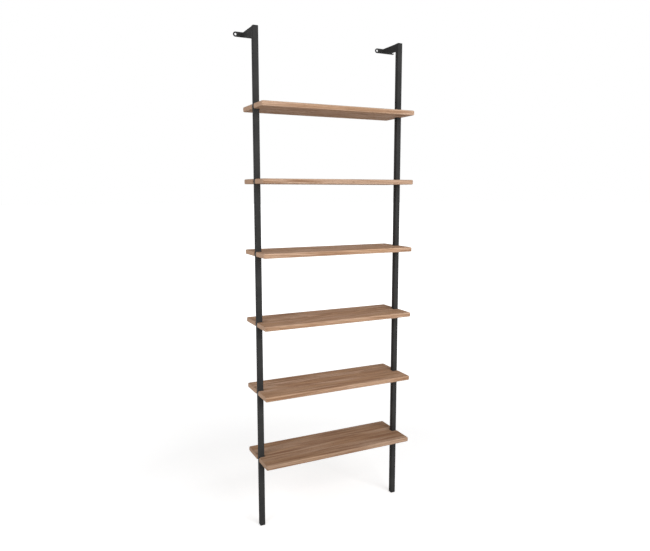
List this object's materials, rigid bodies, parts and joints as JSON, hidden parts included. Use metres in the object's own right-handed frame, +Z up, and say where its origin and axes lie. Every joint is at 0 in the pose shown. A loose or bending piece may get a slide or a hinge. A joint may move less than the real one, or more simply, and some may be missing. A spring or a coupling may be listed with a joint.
{
  "type": "wall bookcase",
  "caption": "Tall open wall bookcase: wooden shelves notched onto slim square steel posts that stand on the floor, with brackets at the top that screw to the wall.",
  "frame": {"origin": "on the floor, in the middle of the outline seen from above; the wall is 103 mm behind it", "axes": "+X to the right along the shelves, +Y back to the wall, +Z up"},
  "size_m": [0.683, 0.206, 1.855],
  "materials": {
    "wood": "satin oiled board, grain along the shelf, eased edges",
    "coated_steel": "fine matte black powder coat",
    "black_plastic": "moulded, fine matte grain",
    "black_screw_steel": "black oxide, satin",
    "zinc_steel": "zinc plated"
  },
  "bodies": {
    "root": {"left_post": "coated_steel", "right_post": "coated_steel", "left_post_cap": "black_plastic", "right_post_cap": "black_plastic", "left_foot": "black_plastic", "right_foot": "black_plastic", "left_bracket_arm": "coated_steel", "right_bracket_arm": "coated_steel", "left_wall_strip": "coated_steel", "right_wall_strip": "coated_steel", "shelf_1": "wood", "shelf_2": "wood", "shelf_3": "wood", "shelf_4": "wood", "shelf_5": "wood", "shelf_6": "wood", "shelf_1_left_screw": "black_screw_steel", "shelf_1_right_screw": "black_screw_steel", "shelf_2_left_screw": "black_screw_steel", "shelf_2_right_screw": "black_screw_steel", "shelf_3_left_screw": "black_screw_steel", "shelf_3_right_screw": "black_screw_steel", "shelf_4_left_screw": "black_screw_steel", "shelf_4_right_screw": "black_screw_steel", "shelf_5_left_screw": "black_screw_steel", "shelf_5_right_screw": "black_screw_steel", "shelf_6_left_screw": "black_screw_steel", "shelf_6_right_screw": "black_screw_steel", "shelf_1_left_insert": "zinc_steel", "shelf_1_right_insert": "zinc_steel", "shelf_2_left_insert": "zinc_steel", "shelf_2_right_insert": "zinc_steel", "shelf_3_left_insert": "zinc_steel", "shelf_3_right_insert": "zinc_steel", "shelf_4_left_insert": "zinc_steel", "shelf_4_right_insert": "zinc_steel", "shelf_5_left_insert": "zinc_steel", "shelf_5_right_insert": "zinc_steel", "shelf_6_left_insert": "zinc_steel", "shelf_6_right_insert": "zinc_steel"}
  },
  "joints": []
}
